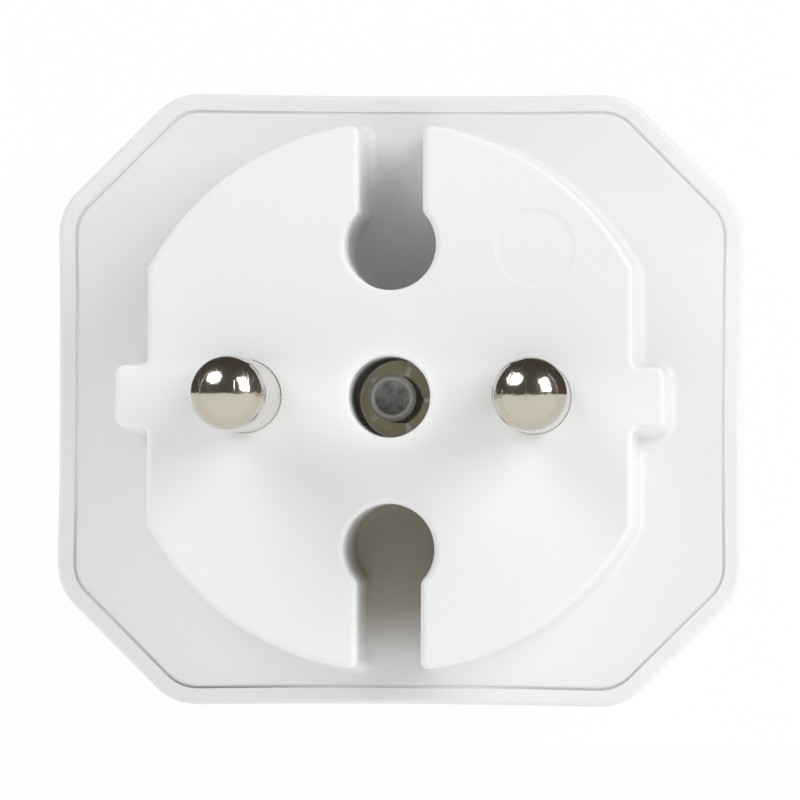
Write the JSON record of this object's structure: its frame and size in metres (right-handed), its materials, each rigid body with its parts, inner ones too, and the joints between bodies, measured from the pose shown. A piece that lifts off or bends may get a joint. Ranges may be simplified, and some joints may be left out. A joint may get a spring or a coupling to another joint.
{
  "type": "double socket adapter",
  "caption": "White wall plug adapter: a round plug with keyhole slots on the back, and sockets for flat plugs side by side in the front of a housing with cut corners.",
  "frame": {"origin": "middle of the front face, on the surface that the adapter rests on", "axes": "+Z out of the plug end along the pins, X from the left pin to the right pin as seen when looking at the plug with the insert mark at the upper right, Y from the lower socket to the upper socket"},
  "size_m": [0.0466, 0.0416, 0.0704],
  "materials": {
    "housing_plastic": "fine satin moulding",
    "plug_plastic": "fine satin moulding",
    "pin_nickel": "polished nickel plating over turned brass",
    "closing_steel": "dull zinc plating, cut end",
    "washer_steel": "oiled spring steel",
    "strip_brass": "stamped, rolled grain",
    "clip_bronze": "folded spring bronze"
  },
  "bodies": {
    "root": {"front_shell": "housing_plastic", "plug_body": "plug_plastic", "left_pin": "pin_nickel", "right_pin": "pin_nickel", "closing_pin": "closing_steel", "lock_washer": "washer_steel", "left_bus_strip": "strip_brass", "right_bus_strip": "strip_brass", "upper_left_clip": "clip_bronze", "upper_right_clip": "clip_bronze", "lower_left_clip": "clip_bronze", "lower_right_clip": "clip_bronze", "clip_rivets": "strip_brass"}
  },
  "joints": []
}
